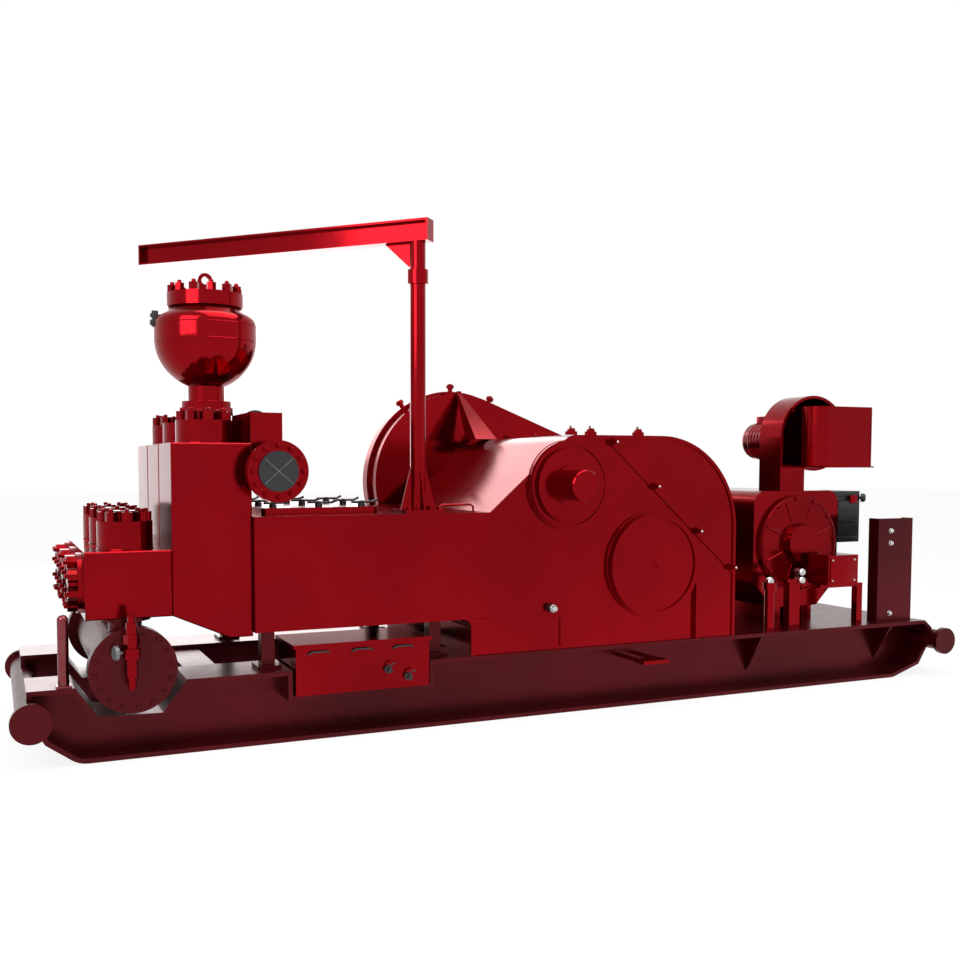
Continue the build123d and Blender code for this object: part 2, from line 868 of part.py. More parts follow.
# ---- chain case ----
with BuildPart() as chain_case:
    for grow, y0, t in ((0, case_near_y, case_t), (30, case_near_y + case_t / 2 - 22, 44)):
        with BuildSketch(at_y(y0 + t)):
            with Locations((pinion_x, pinion_z)):
                Circle(case_big_r - 30 + grow)
            with Locations((motor_x, motor_z)):
                Circle(case_small_r - 30 + grow)
            make_hull()
        extrude(amount=t)
chain_case.part.label = "chain_case"
export_step(chain_case.part, "parts/chain_case.step")

# Pyramid brace from the housing's top to the head of the chain case.
brace_top_z = pinion_z + case_big_r - 34
with BuildPart() as case_brace:
    with BuildSketch(Plane.XY.offset(power_top_z)):
        with Locations((20, body_half_y - 200)):
            Rectangle(200, 200)
    with BuildSketch(Plane.XY.offset(brace_top_z)):
        with Locations((pinion_x, case_near_y - 22)):
            Rectangle(30, 44)
    loft()
    with BuildSketch(Plane.XY.offset(brace_top_z)):
        with Locations((pinion_x, case_near_y - 22)):
            Rectangle(30, 44)
    extrude(amount=26)
case_brace.part.label = "case_brace"
export_step(case_brace.part, "parts/case_brace.step")

# ---- blower on top of the motor ----
motor_top_z = motor_z + motor_half_h
scroll_left = scroll_x - scroll_r
scroll_right = scroll_x + scroll_r
neck_right = scroll_left + scroll_neck_w
with BuildPart() as blower_scroll:
    with BuildSketch(at_y(scroll_near_y + scroll_t)):
        with BuildLine():
            Line((scroll_left, motor_top_z), (scroll_left, scroll_z))
            ThreePointArc((scroll_left, scroll_z), (scroll_x, scroll_z + scroll_r), (scroll_right, scroll_z))
            ThreePointArc((scroll_right, scroll_z), (scroll_x + 215, scroll_z - 225), (neck_right, scroll_z - 275))
            Line((neck_right, scroll_z - 275), (neck_right, motor_top_z))
            Line((neck_right, motor_top_z), (scroll_left, motor_top_z))
        make_face()
    extrude(amount=scroll_t)
    inner = scroll_r - scroll_wall
    with BuildSketch(at_y(scroll_near_y)):
        with BuildLine():
            Line((scroll_x - inner, scroll_z - 240), (scroll_x - inner, scroll_z))
            ThreePointArc((scroll_x - inner, scroll_z), (scroll_x, scroll_z + inner), (scroll_x + inner, scroll_z))
            ThreePointArc((scroll_x + inner, scroll_z), (scroll_x + 200, scroll_z - 200), (neck_right, scroll_z - 240))
            Line((neck_right, scroll_z - 240), (scroll_x - inner, scroll_z - 240))
        make_face()
    extrude(amount=-(scroll_t - scroll_wall), mode=Mode.SUBTRACT)
blower_scroll.part.label = "blower_scroll"
export_step(blower_scroll.part, "parts/blower_scroll.step")

with BuildPart() as blower_hood:
    with BuildSketch(Plane.XY.offset(hood_low_z)):
        with Locations((scroll_x - 80, scroll_near_y - hood_r)):
            Circle(hood_r)
            Rectangle(hood_len, 2 * hood_r, align=(Align.MIN, Align.CENTER))
    extrude(amount=hood_h)
blower_hood.part.label = "blower_hood"
export_step(blower_hood.part, "parts/blower_hood.step")

with BuildPart() as blower_motor:
    with BuildSketch(at_y(scroll_near_y + scroll_t + fan_motor_len)):
        with Locations((fan_motor_x, scroll_z - 20)):
            Circle(fan_motor_r)
    extrude(amount=fan_motor_len)
    fillet(blower_motor.edges().group_by(Axis.Y)[-1], radius=45)
blower_motor.part.label = "blower_motor"
export_step(blower_motor.part, "parts/blower_motor.step")

# ---- small fittings on the rear deck ----
with BuildPart() as junction_box:
    with Locations((2650, -715, 938)):
        Box(320, 230, 250)
    with Locations((2720, -715, 798)):
        Box(460, 60, 30)
    with Locations((2920, -715, (skid_height + 783) / 2)):
        Box(60, 60, 783 - skid_height)
junction_box.part.label = "junction_box"
export_step(junction_box.part, "parts/junction_box.step")

with BuildPart() as valve_stand:
    with Locations((2225, -700, (skid_height + 850) / 2)):
        Box(110, 70, 850 - skid_height)
    with Locations((2225, -700, 862)):
        Box(190, 110, 24)
valve_stand.part.label = "valve_stand"
export_step(valve_stand.part, "parts/valve_stand.step")

with BuildPart() as lube_filter:
    with BuildSketch(Plane((1960, -740, skid_height))):
        Circle(42)
    extrude(amount=330)
    with BuildSketch(Plane((1960, -740, skid_height + 330))):
        Circle(56)
    extrude(amount=60)
lube_filter.part.label = "lube_filter"
export_step(lube_filter.part, "parts/lube_filter.step")

with BuildPart() as rear_upright:
    with BuildSketch(Plane.XY.offset(skid_height)):
        with Locations((3305, -700)):
            Rectangle(390, 110)
        with Locations((3305, -688)):
            Rectangle(362, 110, mode=Mode.SUBTRACT)
    extrude(amount=885)
rear_upright.part.label = "rear_upright"
export_step(rear_upright.part, "parts/rear_upright.step")

# ---- jib crane ----
sleeve_z = collar_z + collar_h + sleeve_gap
with BuildPart() as jib_post:
    with BuildSketch(Plane.XY.offset(frame_top_z)):
        with Locations((post_x, post_y)):
            Rectangle(280, 280)
    extrude(amount=24)
    with BuildSketch(Plane.XY.offset(frame_top_z)):
        with Locations((post_x, post_y)):
            Circle(post_r)
    extrude(amount=collar_z - frame_top_z)
    with BuildSketch(Plane.XY.offset(collar_z)):
        with Locations((post_x, post_y)):
            Circle(collar_r)
    extrude(amount=collar_h)
    with BuildSketch(Plane.XY.offset(collar_z + collar_h)):
        with Locations((post_x, post_y)):
            Circle(post_pin_r)
    extrude(amount=sleeve_h - 20)
    foot_z = frame_top_z + 24
    for spin in (0, 90, 180, 270):
        with BuildSketch(Plane((post_x, post_y, 0), x_dir=Vector(1, 0, 0).rotate(Axis.Z, spin), z_dir=Vector(0, -1, 0).rotate(Axis.Z, spin))):
            with BuildLine():
                Polyline((post_r - 8, foot_z), (130, foot_z), (post_r - 8, foot_z + 330), close=True)
            make_face()
        extrude(amount=7, both=True)
jib_post.part.label = "jib_post"
export_step(jib_post.part, "parts/jib_post.step")

arm_z = sleeve_z + sleeve_h
arm_way = Vector(1, 0, 0).rotate(Axis.Z, arm_turn)
arm_plane = Plane((post_x, post_y, 0), x_dir=arm_way, z_dir=(0, 0, 1))
arm_end = Plane((post_x, post_y, arm_z), z_dir=arm_way, x_dir=Vector(0, 0, 1).cross(arm_way))
with BuildPart() as jib_arm:
    with BuildSketch(arm_plane.offset(sleeve_z)):
        Circle(post_r)
        Circle(post_pin_r + 0.06, mode=Mode.SUBTRACT)
    extrude(amount=sleeve_h)
    with BuildSketch(arm_end.offset(-arm_tail)):
        with Locations((0, arm_flange_t / 2), (0, arm_h - arm_flange_t / 2)):
            Rectangle(arm_w, arm_flange_t)
        with Locations((0, arm_h / 2)):
            Rectangle(arm_web_t, arm_h)
    extrude(amount=arm_len + arm_tail)
    for x in (-arm_tail, arm_len - arm_flange_t):
        with BuildSketch(arm_end.offset(x)):
            with Locations((0, arm_h / 2)):
                Rectangle(arm_w, arm_h)
        extrude(amount=arm_flange_t)
    with BuildSketch(Plane((post_x, post_y, arm_z), x_dir=arm_way, z_dir=arm_way.cross(Vector(0, 0, 1)))):
        with BuildLine():
            Polyline((post_r - 8, 0), (post_r + arm_gusset, 0), (post_r - 8, -arm_gusset + 8), close=True)
        make_face()
    extrude(amount=arm_web_t / 2, both=True)
jib_arm.part.label = "jib_arm"
export_step(jib_arm.part, "parts/jib_arm.step")
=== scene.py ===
"""Paint, fasteners, fittings and studio for a skid-mounted triplex mud pump."""

import math

import bmesh
import bpy
from bpy.props import FloatProperty, FloatVectorProperty, PointerProperty
from bpy.types import Operator, Panel, PropertyGroup
from mathutils import Matrix, Vector


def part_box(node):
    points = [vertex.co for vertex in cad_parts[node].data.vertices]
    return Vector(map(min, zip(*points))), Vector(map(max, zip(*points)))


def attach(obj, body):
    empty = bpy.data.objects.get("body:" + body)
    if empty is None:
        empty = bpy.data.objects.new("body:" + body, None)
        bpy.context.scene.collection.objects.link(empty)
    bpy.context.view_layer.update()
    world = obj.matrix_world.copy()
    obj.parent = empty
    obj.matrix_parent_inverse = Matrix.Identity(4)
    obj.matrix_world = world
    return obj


bl_info = {
    "name": "Triplex Mud Pump Dressing",
    "version": (1, 0, 0),
    "blender": (4, 5, 0),
    "location": "3D View > Sidebar > Mud Pump",
    "description": "Paints and dresses the packed mud pump and sets up its studio",
    "category": "Object",
}

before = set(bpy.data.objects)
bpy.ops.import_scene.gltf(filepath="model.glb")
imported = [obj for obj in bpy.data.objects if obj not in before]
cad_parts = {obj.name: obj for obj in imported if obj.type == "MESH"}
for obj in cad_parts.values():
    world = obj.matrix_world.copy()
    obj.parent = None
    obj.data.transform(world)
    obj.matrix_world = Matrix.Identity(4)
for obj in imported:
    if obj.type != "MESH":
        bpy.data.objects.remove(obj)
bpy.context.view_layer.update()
PUMP = "pump"
UP = (0, 0, 1)
NEAR = (0, -1, 0)
FRONT = (-1, 0, 0)

# Places on the pump, in metres.
MODULE_YS = (-0.533, 0.0, 0.533)
PLATE_Y = 0.8385
SPLIT_TOP = (0.325, 2.030)
SPLIT_SLOPE = 0.884
CHAIN_JOINT_Y = 1.270
CLAMP_XS = (0.382, 0.755, 1.147, 1.478)
PINION_CENTRE = Vector((0.0, 0.0, 1.664))
MOTOR_CENTRE = Vector((2.487, 0.0, 1.145))

# Turned shapes as (radius, height) from the foot up.
LEVER_HUB = [(0.026, 0), (0.026, 0.02), (0.013, 0.022), (0.013, 0.04), (0, 0.04)]
CLAMP_STUD = [(0.009, 0), (0.009, 0.014), (0.006, 0.018), (0, 0.018)]
TAP_BODY = [(0.026, 0), (0.026, 0.018), (0.016, 0.022), (0.016, 0.06), (0, 0.06)]
LOUVRE_KNOB = [(0.012, -0.03), (0.012, 0), (0.038, 0.006), (0.038, 0.034), (0.028, 0.044), (0, 0.044)]
BREATHER = [(0.022, 0), (0.022, 0.03), (0.036, 0.034), (0.036, 0.06), (0.02, 0.074), (0, 0.074)]


# ---------------------------------------------------------------- settings


class PumpPaintSettings(PropertyGroup):
    """Colours of the pump's coatings."""

    enamel_red: FloatVectorProperty(
        name="Enamel red",
        description="Candy red enamel on the machine",
        subtype="COLOR",
        default=(0.27, 0.0012, 0.005),
        min=0.0,
        max=1.0,
    )
    skid_maroon: FloatVectorProperty(
        name="Skid maroon",
        description="Duller red on the skid beams",
        subtype="COLOR",
        default=(0.095, 0.003, 0.006),
        min=0.0,
        max=1.0,
    )
    black: FloatVectorProperty(
        name="Black",
        description="Black fittings",
        subtype="COLOR",
        default=(0.012, 0.012, 0.013),
        min=0.0,
        max=1.0,
    )
    steel: FloatVectorProperty(
        name="Bright steel",
        description="Bare and plated steel",
        subtype="COLOR",
        default=(0.60, 0.59, 0.58),
        min=0.0,
        max=1.0,
    )


class PumpHardwareSettings(PropertyGroup):
    """Sizes of the bolts and fittings."""

    cover_bolt: FloatProperty(
        name="Cover bolt",
        description="Width across the corners of a cover bolt",
        default=0.046,
        min=0.02,
        max=0.09,
        unit="LENGTH",
    )
    weld: FloatProperty(
        name="Weld bead",
        description="Radius of the larger weld beads",
        default=0.009,
        min=0.003,
        max=0.02,
        unit="LENGTH",
    )
    handle: FloatProperty(
        name="Lever handle",
        description="Thickness of the cover lever handles",
        default=0.018,
        min=0.008,
        max=0.04,
        unit="LENGTH",
    )


class PumpStudioSettings(PropertyGroup):
    """Lamps and camera."""

    key_power: FloatProperty(
        name="Key power",
        description="Power of the large lamp at the fluid end",
        default=420.0,
        min=0.0,
        unit="POWER",
    )
    top_power: FloatProperty(
        name="Top power",
        description="Power of the overhead lamp",
        default=520.0,
        min=0.0,
        unit="POWER",
    )
    rear_power: FloatProperty(
        name="Rear power",
        description="Power of the wide lamp behind the chain case",
        default=560.0,
        min=0.0,
        unit="POWER",
    )
    lens: FloatProperty(
        name="Lens",
        description="Focal length of the camera",
        default=39.05,
        min=10.0,
        max=200.0,
        unit="CAMERA",
    )


def paint():
    return bpy.context.scene.pump_paint


def hardware():
    return bpy.context.scene.pump_hardware


def studio():
    return bpy.context.scene.pump_studio


# ---------------------------------------------------------------- shading


def shader_group(name, inputs, outputs):
    """An empty shader group with float and colour sockets; returns (tree, inlet, outlet)."""
    tree = bpy.data.node_groups.new(name, "ShaderNodeTree")
    for label, kind, value in inputs:
        socket = tree.interface.new_socket(label, in_out="INPUT", socket_type=kind)
        if value is not None:
            socket.default_value = value
    for label, kind in outputs:
        tree.interface.new_socket(label, in_out="OUTPUT", socket_type=kind)
    return tree, tree.nodes.new("NodeGroupInput"), tree.nodes.new("NodeGroupOutput")


def node(tree, kind, **values):
    made = tree.nodes.new(kind)
    for key, value in values.items():
        if hasattr(made, key):
            setattr(made, key, value)
        else:
            made.inputs[key.replace("_", " ")].default_value = value
    return made


def enamel_group():
    """Sprayed enamel: slow drift of tone, dust that gathers low down and orange peel."""
    found = bpy.data.node_groups.get("Sprayed Enamel")
    if found:
        return found
    tree, inlet, outlet = shader_group(
        "Sprayed Enamel",
        [
            ("Colour", "NodeSocketColor", (0.5, 0.0, 0.02, 1)),
            ("Deep Colour", "NodeSocketColor", (0.2, 0.0, 0.01, 1)),
            ("Dust Colour", "NodeSocketColor", (0.16, 0.08, 0.07, 1)),
            ("Dust", "NodeSocketFloat", 0.2),
            ("Gloss Roughness", "NodeSocketFloat", 0.14),
            ("Peel Scale", "NodeSocketFloat", 26.0),
        ],
        [("Colour", "NodeSocketColor"), ("Roughness", "NodeSocketFloat"), ("Height", "NodeSocketFloat")],
    )
    link = tree.links.new
    place = node(tree, "ShaderNodeTexCoord")
    drift = node(tree, "ShaderNodeTexNoise", Scale=0.9, Detail=3.0, Roughness=0.55)
    peel = node(tree, "ShaderNodeTexNoise", Detail=2.0, Roughness=0.5)
    flake = node(tree, "ShaderNodeTexVoronoi", Scale=420.0)
    grit = node(tree, "ShaderNodeTexNoise", Scale=9.0, Detail=6.0, Roughness=0.65)
    for texture in (drift, peel, flake, grit):
        link(place.outputs["Object"], texture.inputs["Vector"])
    link(inlet.outputs["Peel Scale"], peel.inputs["Scale"])
    spread = node(tree, "ShaderNodeMapRange")
    spread.inputs["From Min"].default_value = 0.35
    spread.inputs["From Max"].default_value = 0.68
    link(drift.outputs["Fac"], spread.inputs["Value"])
    tone = node(tree, "ShaderNodeMix", data_type="RGBA")
    link(spread.outputs["Result"], tone.inputs["Factor"])
    link(inlet.outputs["Deep Colour"], tone.inputs[6])
    link(inlet.outputs["Colour"], tone.inputs[7])
    split = node(tree, "ShaderNodeSeparateXYZ")
    link(place.outputs["Object"], split.inputs["Vector"])
    low = node(tree, "ShaderNodeMapRange")
    low.inputs["From Min"].default_value = 0.9
    low.inputs["From Max"].default_value = 0.0
    link(split.outputs["Z"], low.inputs["Value"])
    patch = node(tree, "ShaderNodeMapRange")
    patch.inputs["From Min"].default_value = 0.45
    patch.inputs["From Max"].default_value = 0.75
    link(grit.outputs["Fac"], patch.inputs["Value"])
    dusty = node(tree, "ShaderNodeMath", operation="MULTIPLY")
    link(low.outputs["Result"], dusty.inputs[0])
    link(patch.outputs["Result"], dusty.inputs[1])
    amount = node(tree, "ShaderNodeMath", operation="MULTIPLY")
    link(dusty.outputs[0], amount.inputs[0])
    link(inlet.outputs["Dust"], amount.inputs[1])
    coated = node(tree, "ShaderNodeMix", data_type="RGBA")
    link(amount.outputs[0], coated.inputs["Factor"])
    link(tone.outputs[2], coated.inputs[6])
    link(inlet.outputs["Dust Colour"], coated.inputs[7])
    link(coated.outputs[2], outlet.inputs["Colour"])
    rough = node(tree, "ShaderNodeMath", operation="MULTIPLY_ADD")
    rough.inputs[1].default_value = 0.09
    link(grit.outputs["Fac"], rough.inputs[0])
    link(inlet.outputs["Gloss Roughness"], rough.inputs[2])
    rougher = node(tree, "ShaderNodeMath", operation="MULTIPLY_ADD")
    rougher.inputs[1].default_value = 0.9
    link(amount.outputs[0], rougher.inputs[0])
    link(rough.outputs[0], rougher.inputs[2])
    link(rougher.outputs[0], outlet.inputs["Roughness"])
    sparkle = node(tree, "ShaderNodeMath", operation="MULTIPLY_ADD")
    sparkle.inputs[1].default_value = 0.06
    link(flake.outputs["Distance"], sparkle.inputs[0])
    link(peel.outputs["Fac"], sparkle.inputs[2])
    link(sparkle.outputs[0], outlet.inputs["Height"])
    return tree


def steel_group():
    """Bare steel: fine turning marks, stains and a little tarnish."""
    found = bpy.data.node_groups.get("Worked Steel")
    if found:
        return found
    tree, inlet, outlet = shader_group(
        "Worked Steel",
        [
            ("Colour", "NodeSocketColor", (0.6, 0.6, 0.6, 1)),
            ("Stain Colour", "NodeSocketColor", (0.2, 0.17, 0.15, 1)),
            ("Stain", "NodeSocketFloat", 0.3),
            ("Base Roughness", "NodeSocketFloat", 0.25),
        ],
        [("Colour", "NodeSocketColor"), ("Roughness", "NodeSocketFloat"), ("Height", "NodeSocketFloat")],
    )
    link = tree.links.new
    place = node(tree, "ShaderNodeTexCoord")
    stain = node(tree, "ShaderNodeTexNoise", Scale=14.0, Detail=6.0, Roughness=0.7)
    lines = node(tree, "ShaderNodeTexNoise", Scale=180.0, Detail=2.0)
    link(place.outputs["Object"], stain.inputs["Vector"])
    link(place.outputs["Object"], lines.inputs["Vector"])
    spread = node(tree, "ShaderNodeMapRange")
    spread.inputs["From Min"].default_value = 0.42
    spread.inputs["From Max"].default_value = 0.8
    link(stain.outputs["Fac"], spread.inputs["Value"])
    amount = node(tree, "ShaderNodeMath", operation="MULTIPLY")
    link(spread.outputs["Result"], amount.inputs[0])
    link(inlet.outputs["Stain"], amount.inputs[1])
    mixed = node(tree, "ShaderNodeMix", data_type="RGBA")
    link(amount.outputs[0], mixed.inputs["Factor"])
    link(inlet.outputs["Colour"], mixed.inputs[6])
    link(inlet.outputs["Stain Colour"], mixed.inputs[7])
    link(mixed.outputs[2], outlet.inputs["Colour"])
    rough = node(tree, "ShaderNodeMath", operation="MULTIPLY_ADD")
    rough.inputs[1].default_value = 0.35
    link(amount.outputs[0], rough.inputs[0])
    link(inlet.outputs["Base Roughness"], rough.inputs[2])
    link(rough.outputs[0], outlet.inputs["Roughness"])
    link(lines.outputs["Fac"], outlet.inputs["Height"])
    return tree


def finish_material(name, group, values, metallic, coat=0.0, bump=0.05, depth=0.002):
    """A material whose colour, roughness and bump come from one of the groups."""
    found = bpy.data.materials.get(name)
    if found:
        return found
    material = bpy.data.materials.new(name)
    material.use_nodes = True
    tree = material.node_tree
    surface = tree.nodes["Principled BSDF"]
    surface.inputs["Metallic"].default_value = metallic
    surface.inputs["Coat Weight"].default_value = coat
    surface.inputs["Coat Roughness"].default_value = 0.04
    effect = tree.nodes.new("ShaderNodeGroup")
    effect.node_tree = group
    for key, value in values.items():
        effect.inputs[key].default_value = (*value, 1) if hasattr(value, "__len__") else value
    relief = tree.nodes.new("ShaderNodeBump")
    relief.inputs["Strength"].default_value = bump
    relief.inputs["Distance"].default_value = depth
    tree.links.new(effect.outputs["Colour"], surface.inputs["Base Color"])
    tree.links.new(effect.outputs["Roughness"], surface.inputs["Roughness"])
    tree.links.new(effect.outputs["Height"], relief.inputs["Height"])
    tree.links.new(relief.outputs["Normal"], surface.inputs["Normal"])
    material.diffuse_color = (*list(values["Colour"]), 1)
    return material


def deeper(colour, share):
    return tuple(c * share for c in colour)


def machine_enamel():
    red = tuple(paint().enamel_red)
    values = {"Colour": red, "Deep Colour": deeper(red, 0.72), "Dust": 0.01, "Gloss Roughness": 0.09}
    return finish_material("Machine Enamel", enamel_group(), values, 0.92, 0.0, 0.02)


def cast_enamel():
    red = tuple(paint().enamel_red)
    values = {
        "Colour": red, "Deep Colour": deeper(red, 0.6), "Dust": 0.02,
        "Gloss Roughness": 0.11, "Peel Scale": 60.0,
    }
    return finish_material("Cast Enamel", enamel_group(), values, 0.92, 0.0, 0.08, 0.003)


def skid_enamel():
    maroon = tuple(paint().skid_maroon)
    values = {"Colour": maroon, "Deep Colour": deeper(maroon, 0.6), "Dust": 0.03, "Gloss Roughness": 0.24}
    return finish_material("Skid Enamel", enamel_group(), values, 0.8, 0.0, 0.05)


def black_enamel():
    black = tuple(paint().black)
    values = {"Colour": black, "Deep Colour": deeper(black, 0.5), "Dust": 0.03, "Gloss Roughness": 0.3}
    return finish_material("Black Enamel", enamel_group(), values, 0.0, 0.0, 0.05)


def bright_steel():
    values = {"Colour": tuple(paint().steel), "Stain": 0.45, "Base Roughness": 0.2}
    return finish_material("Bright Steel", steel_group(), values, 1.0, 0.0, 0.03)


def worn_steel():
    values = {"Colour": (0.16, 0.16, 0.165), "Stain": 0.25, "Base Roughness": 0.35}
    return finish_material("Worn Steel", steel_group(), values, 0.6, 0.0, 0.03)


def steel_with_painted_red_reflection():
    # The red in this bare steel's colour is a painted reflection of the red enamel round it, not a tint of
    # the steel.
    values = {"Colour": (0.20, 0.035, 0.045), "Stain": 0.35, "Base Roughness": 0.16}
    return finish_material("Steel With Painted Red Reflection", steel_group(), values, 1.0, 0.0, 0.03)


# ---------------------------------------------------------------- meshes


def put(name, mesh, material, body, smooth=30):
    """Links a finished mesh as a piece that rides on a body."""
    for face in mesh.faces:
        face.smooth = True
    data = bpy.data.meshes.new(name)
    mesh.to_mesh(data)
    mesh.free()
    data.materials.append(material)
    piece = bpy.data.objects.new(name, data)
    bpy.context.scene.collection.objects.link(piece)
    data.set_sharp_from_angle(angle=math.radians(smooth))
    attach(piece, body)
    return piece


def facing(axis):
    """Rotation that takes +Z to the axis."""
    return Vector((0, 0, 1)).rotation_difference(Vector(axis)).to_matrix().to_4x4()


def turned(mesh, centre, axis, profile, sides, spin=0.0):
    """Adds a closed turned or polygonal solid: profile is (radius, height) from bottom to top."""
    place = Matrix.Translation(centre) @ facing(axis) @ Matrix.Rotation(spin, 4, "Z")
    rings = []
    for radius, height in profile:
        if radius <= 1e-6:
            rings.append([mesh.verts.new(place @ Vector((0, 0, height)))])
            continue
        rings.append([
            mesh.verts.new(place @ Vector((radius * math.cos(a), radius * math.sin(a), height)))
            for a in (2 * math.pi * i / sides for i in range(sides))
        ])
    for low, high in zip(rings, rings[1:]):
        for i in range(sides):
            j = (i + 1) % sides
            if len(low) == 1:
                mesh.faces.new((low[0], high[i], high[j])[::-1])
            elif len(high) == 1:
                mesh.faces.new((low[i], low[j], high[0]))
            else:
                mesh.faces.new((low[i], low[j], high[j], high[i]))
    if len(rings[0]) > 1:
        mesh.faces.new(rings[0][::-1])
    if len(rings[-1]) > 1:
        mesh.faces.new(rings[-1])


def ring_points(centre, axis, radius, count, start=0.0):
    turn = facing(axis)
    return [
        Vector(centre) + turn @ Vector((radius * math.cos(a), radius * math.sin(a), 0))
        for a in (start + 2 * math.pi * i / count for i in range(count))
    ]


def hex_bolt(mesh, at, axis, width, spin=0.0):
    """Washer and chamfered hexagon head."""
    half = width / 2
    head = width * 0.5
    turned(mesh, at, axis, [(half * 1.25, 0), (half * 1.25, width * 0.06), (half * 1.2, width * 0.09)], 18)
    seat = Vector(at) + Vector(axis).normalized() * (width * 0.08)
    profile = [(half, 0), (half, head * 0.82), (half * 0.86, head), (0, head)]
    turned(mesh, seat, axis, profile, 6, spin)


def stud_nut(mesh, at, axis, width, spin=0.0):
    """Nut with a stud end standing out of it."""
    half = width / 2
    top = width * 0.72
    turned(mesh, at, axis, [(half, 0), (half, width * 0.62), (half * 0.88, top), (0, top)], 6, spin)
    seat = Vector(at) + Vector(axis).normalized() * (width * 0.7)
    tip = width * 0.36
    turned(mesh, seat, axis, [(half * 0.5, 0), (half * 0.5, width * 0.3), (half * 0.4, tip), (0, tip)], 14)


def block(mesh, low, high, edge=0.003):
    """Adds a box with chamfered edges."""
    low, high = Vector(low), Vector(high)
    made = bmesh.ops.create_cube(mesh, size=1.0)
    for vert in made["verts"]:
        vert.co = Vector(((low[i] + high[i]) / 2 + vert.co[i] * (high[i] - low[i])) for i in range(3))
    edges = list({e for v in made["verts"] for e in v.link_edges})
    bmesh.ops.bevel(mesh, geom=edges, offset=edge, segments=2, affect="EDGES", profile=0.6)


def rod(mesh, points, radius, sides=12):
    """Adds a round bar that follows the points, closed at both ends."""
    points = [Vector(p) for p in points]
    rings = []
    side = None
    for i, point in enumerate(points):
        ahead = (points[min(i + 1, len(points) - 1)] - points[max(i - 1, 0)]).normalized()
        if side is None:
            side = ahead.orthogonal().normalized()
        side = (side - ahead * side.dot(ahead)).normalized()
        up = ahead.cross(side)
        rings.append([
            mesh.verts.new(point + radius * (math.cos(a) * side + math.sin(a) * up))
            for a in (2 * math.pi * k / sides for k in range(sides))
        ])
    for low, high in zip(rings, rings[1:]):
        for i in range(sides):
            j = (i + 1) % sides
            mesh.faces.new((low[i], low[j], high[j], high[i]))
    mesh.faces.new(rings[0][::-1])
    mesh.faces.new(rings[-1])


def ring_bead(mesh, centre, axis, radius, bead, sides=72):
    """Adds a closed round bead that runs round the axis."""
    place = Matrix.Translation(centre) @ facing(axis)
    rings = []
    for i in range(sides):
        a = 2 * math.pi * i / sides
        rings.append([
            mesh.verts.new(place @ Vector((
                (radius + bead * math.cos(b)) * math.cos(a),
                (radius + bead * math.cos(b)) * math.sin(a),
                bead * math.sin(b),
            )))
            for b in (2 * math.pi * k / 8 for k in range(8))
        ])
    for i in range(sides):
        low, high = rings[i], rings[(i + 1) % sides]
        for k in range(8):
            j = (k + 1) % 8
            mesh.faces.new((low[k], high[k], high[j], low[j]))


def ring_arc(centre, radius, count):
    """Points of a half circle that stands upright across the X axis."""
    return [
        Vector(centre) + Vector((0, radius * math.cos(a), radius * math.sin(a)))
        for a in (math.pi * i / count for i in range(count + 1))
    ]


def node_centre(name):
    low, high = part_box(name)
    return (low + high) / 2


# ---------------------------------------------------------------- operators


class PUMP_OT_paint(Operator):
    """Give every CAD piece its coating"""

    bl_idname = "pump.paint"
    bl_label = "Paint The Pump"

    def execute(self, context):
        skid = ("near_runner", "far_runner", "cross_members", "front_tow_bar", "rear_tow_bar",
                "deck_plate", "frame_legs", "rear_upright", "suction_blind", "suction_manifold")
        black = ("outlet_blank", "motor_louvre_box", "strainer_cap")
        steel = ("blower_motor", "front_post")  # bare steel whose red colour is a painted reflection of the red paint round it
        cast = ("dampener_base", "cylinder_heads", "suction_pots", "discharge_pots", "motor_end_shield")
        for name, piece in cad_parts.items():
            if name in skid:
                material = skid_enamel()
            elif name in black:
                material = black_enamel()
            elif name in steel:
                material = steel_with_painted_red_reflection()
            elif name in cast:
                material = cast_enamel()
            else:
                material = machine_enamel()
            for slot in piece.material_slots:
                slot.material = material
        return {"FINISHED"}


class PUMP_OT_flange_bolts(Operator):
    """Bolt the suction flanges, the jib post's foot and the upright, and mark the crank covers"""

    bl_idname = "pump.flange_bolts"
    bl_label = "Flange Bolts"

    def execute(self, context):
        bolt = hardware().cover_bolt
        mesh = bmesh.new()
        low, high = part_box("suction_blind")
        radius = (high.x - low.x) / 2 * 0.87
        centre = (low + high) / 2
        for side, face in ((-1, low.y), (1, high.y)):
            for at in ring_points((centre.x, face, centre.z), (0, side, 0), radius, 16, 0.1):
                hex_bolt(mesh, at, (0, side, 0), bolt * 0.62, 0.3)
        put("suction_flange_bolts", mesh, skid_enamel(), PUMP)
        mesh = bmesh.new()
        low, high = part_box("jib_post")
        foot = node_centre("jib_post")
        for dx in (-0.112, 0.112):
            for dy in (-0.112, 0.112):
                hex_bolt(mesh, (foot.x + dx, foot.y + dy, low.z + 0.024), UP, 0.036)
        for name, side in (("near_crank_cover", -1), ("far_crank_cover", 1)):
            low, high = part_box(name)
            centre = (low + high) / 2
            face = (low.y if side < 0 else high.y) - side * 0.014
            for dx, dz in ((-0.012, 0.014), (0.012, -0.016)):
                hex_bolt(mesh, (centre.x + dx, face, centre.z + dz), (0, side, 0), 0.02)
        put("foot_and_cover_bolts", mesh, machine_enamel(), PUMP)
        mesh = bmesh.new()
        low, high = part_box("rear_upright")
        for share in (0.88, 0.76, 0.075):
            at = (low.x + 0.14, low.y, low.z + (high.z - low.z) * share)
            hex_bolt(mesh, at, NEAR, 0.036)
        put("upright_bolts", mesh, bright_steel(), PUMP)
        return {"FINISHED"}


